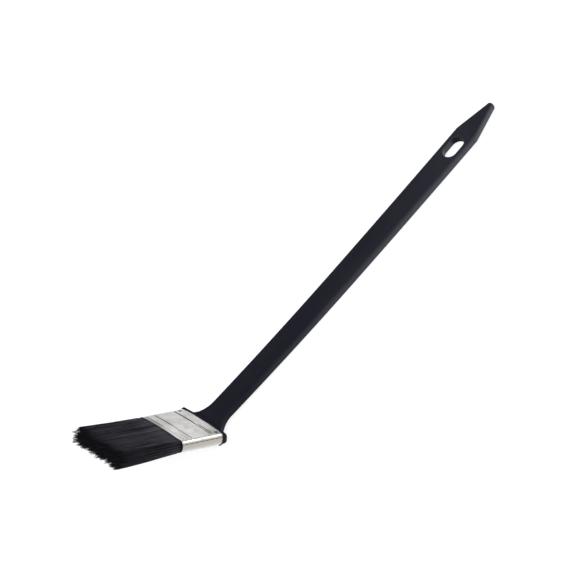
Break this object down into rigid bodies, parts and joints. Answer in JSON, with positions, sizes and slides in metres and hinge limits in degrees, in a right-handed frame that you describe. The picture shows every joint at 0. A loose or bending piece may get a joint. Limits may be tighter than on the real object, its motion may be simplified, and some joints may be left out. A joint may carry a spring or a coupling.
{
  "type": "angled radiator brush",
  "caption": "Flat paint brush with a bent, long flat plastic handle, a hang slot, a tinplate ferrule and a pad of synthetic bristles that flexes at the ferrule, for painting behind radiators.",
  "frame": {"origin": "a point on the handle's flat back face, on the centre line, 150 mm from the bend", "axes": "+X along the handle towards its tip, +Y across the width, +Z out of the handle's upper face, on the side that the head is tilted to"},
  "size_m": [0.4259, 0.0514, 0.0906],
  "materials": {
    "handle_plastic": "satin moulded black plastic",
    "tinplate": "bright tinplate with faint rolling marks",
    "nail_steel": "dull steel",
    "resin": "cast amber resin",
    "plug_wood": "sawn softwood strip",
    "bristle": "bundle of dark tapered synthetic filaments"
  },
  "bodies": {
    "handle_and_ferrule": {"handle": "handle_plastic", "ferrule": "tinplate", "ferrule_nails": "nail_steel", "resin_block": "resin", "spacer_plug": "plug_wood", "upper_bristle_roots": "bristle", "lower_bristle_roots": "bristle"},
    "free_bristles": {"upper_bristles": "bristle", "lower_bristles": "bristle"}
  },
  "joints": [
    {"name": "bristle_flex", "type": "hinge", "parent": "handle_and_ferrule", "child": "free_bristles", "pos_m": [-0.18956, 0, 0.04171], "axis": [0, 1, 0], "range_deg": [-35, 35], "stiffness_Nm_per_rad": 0.9}
  ]
}
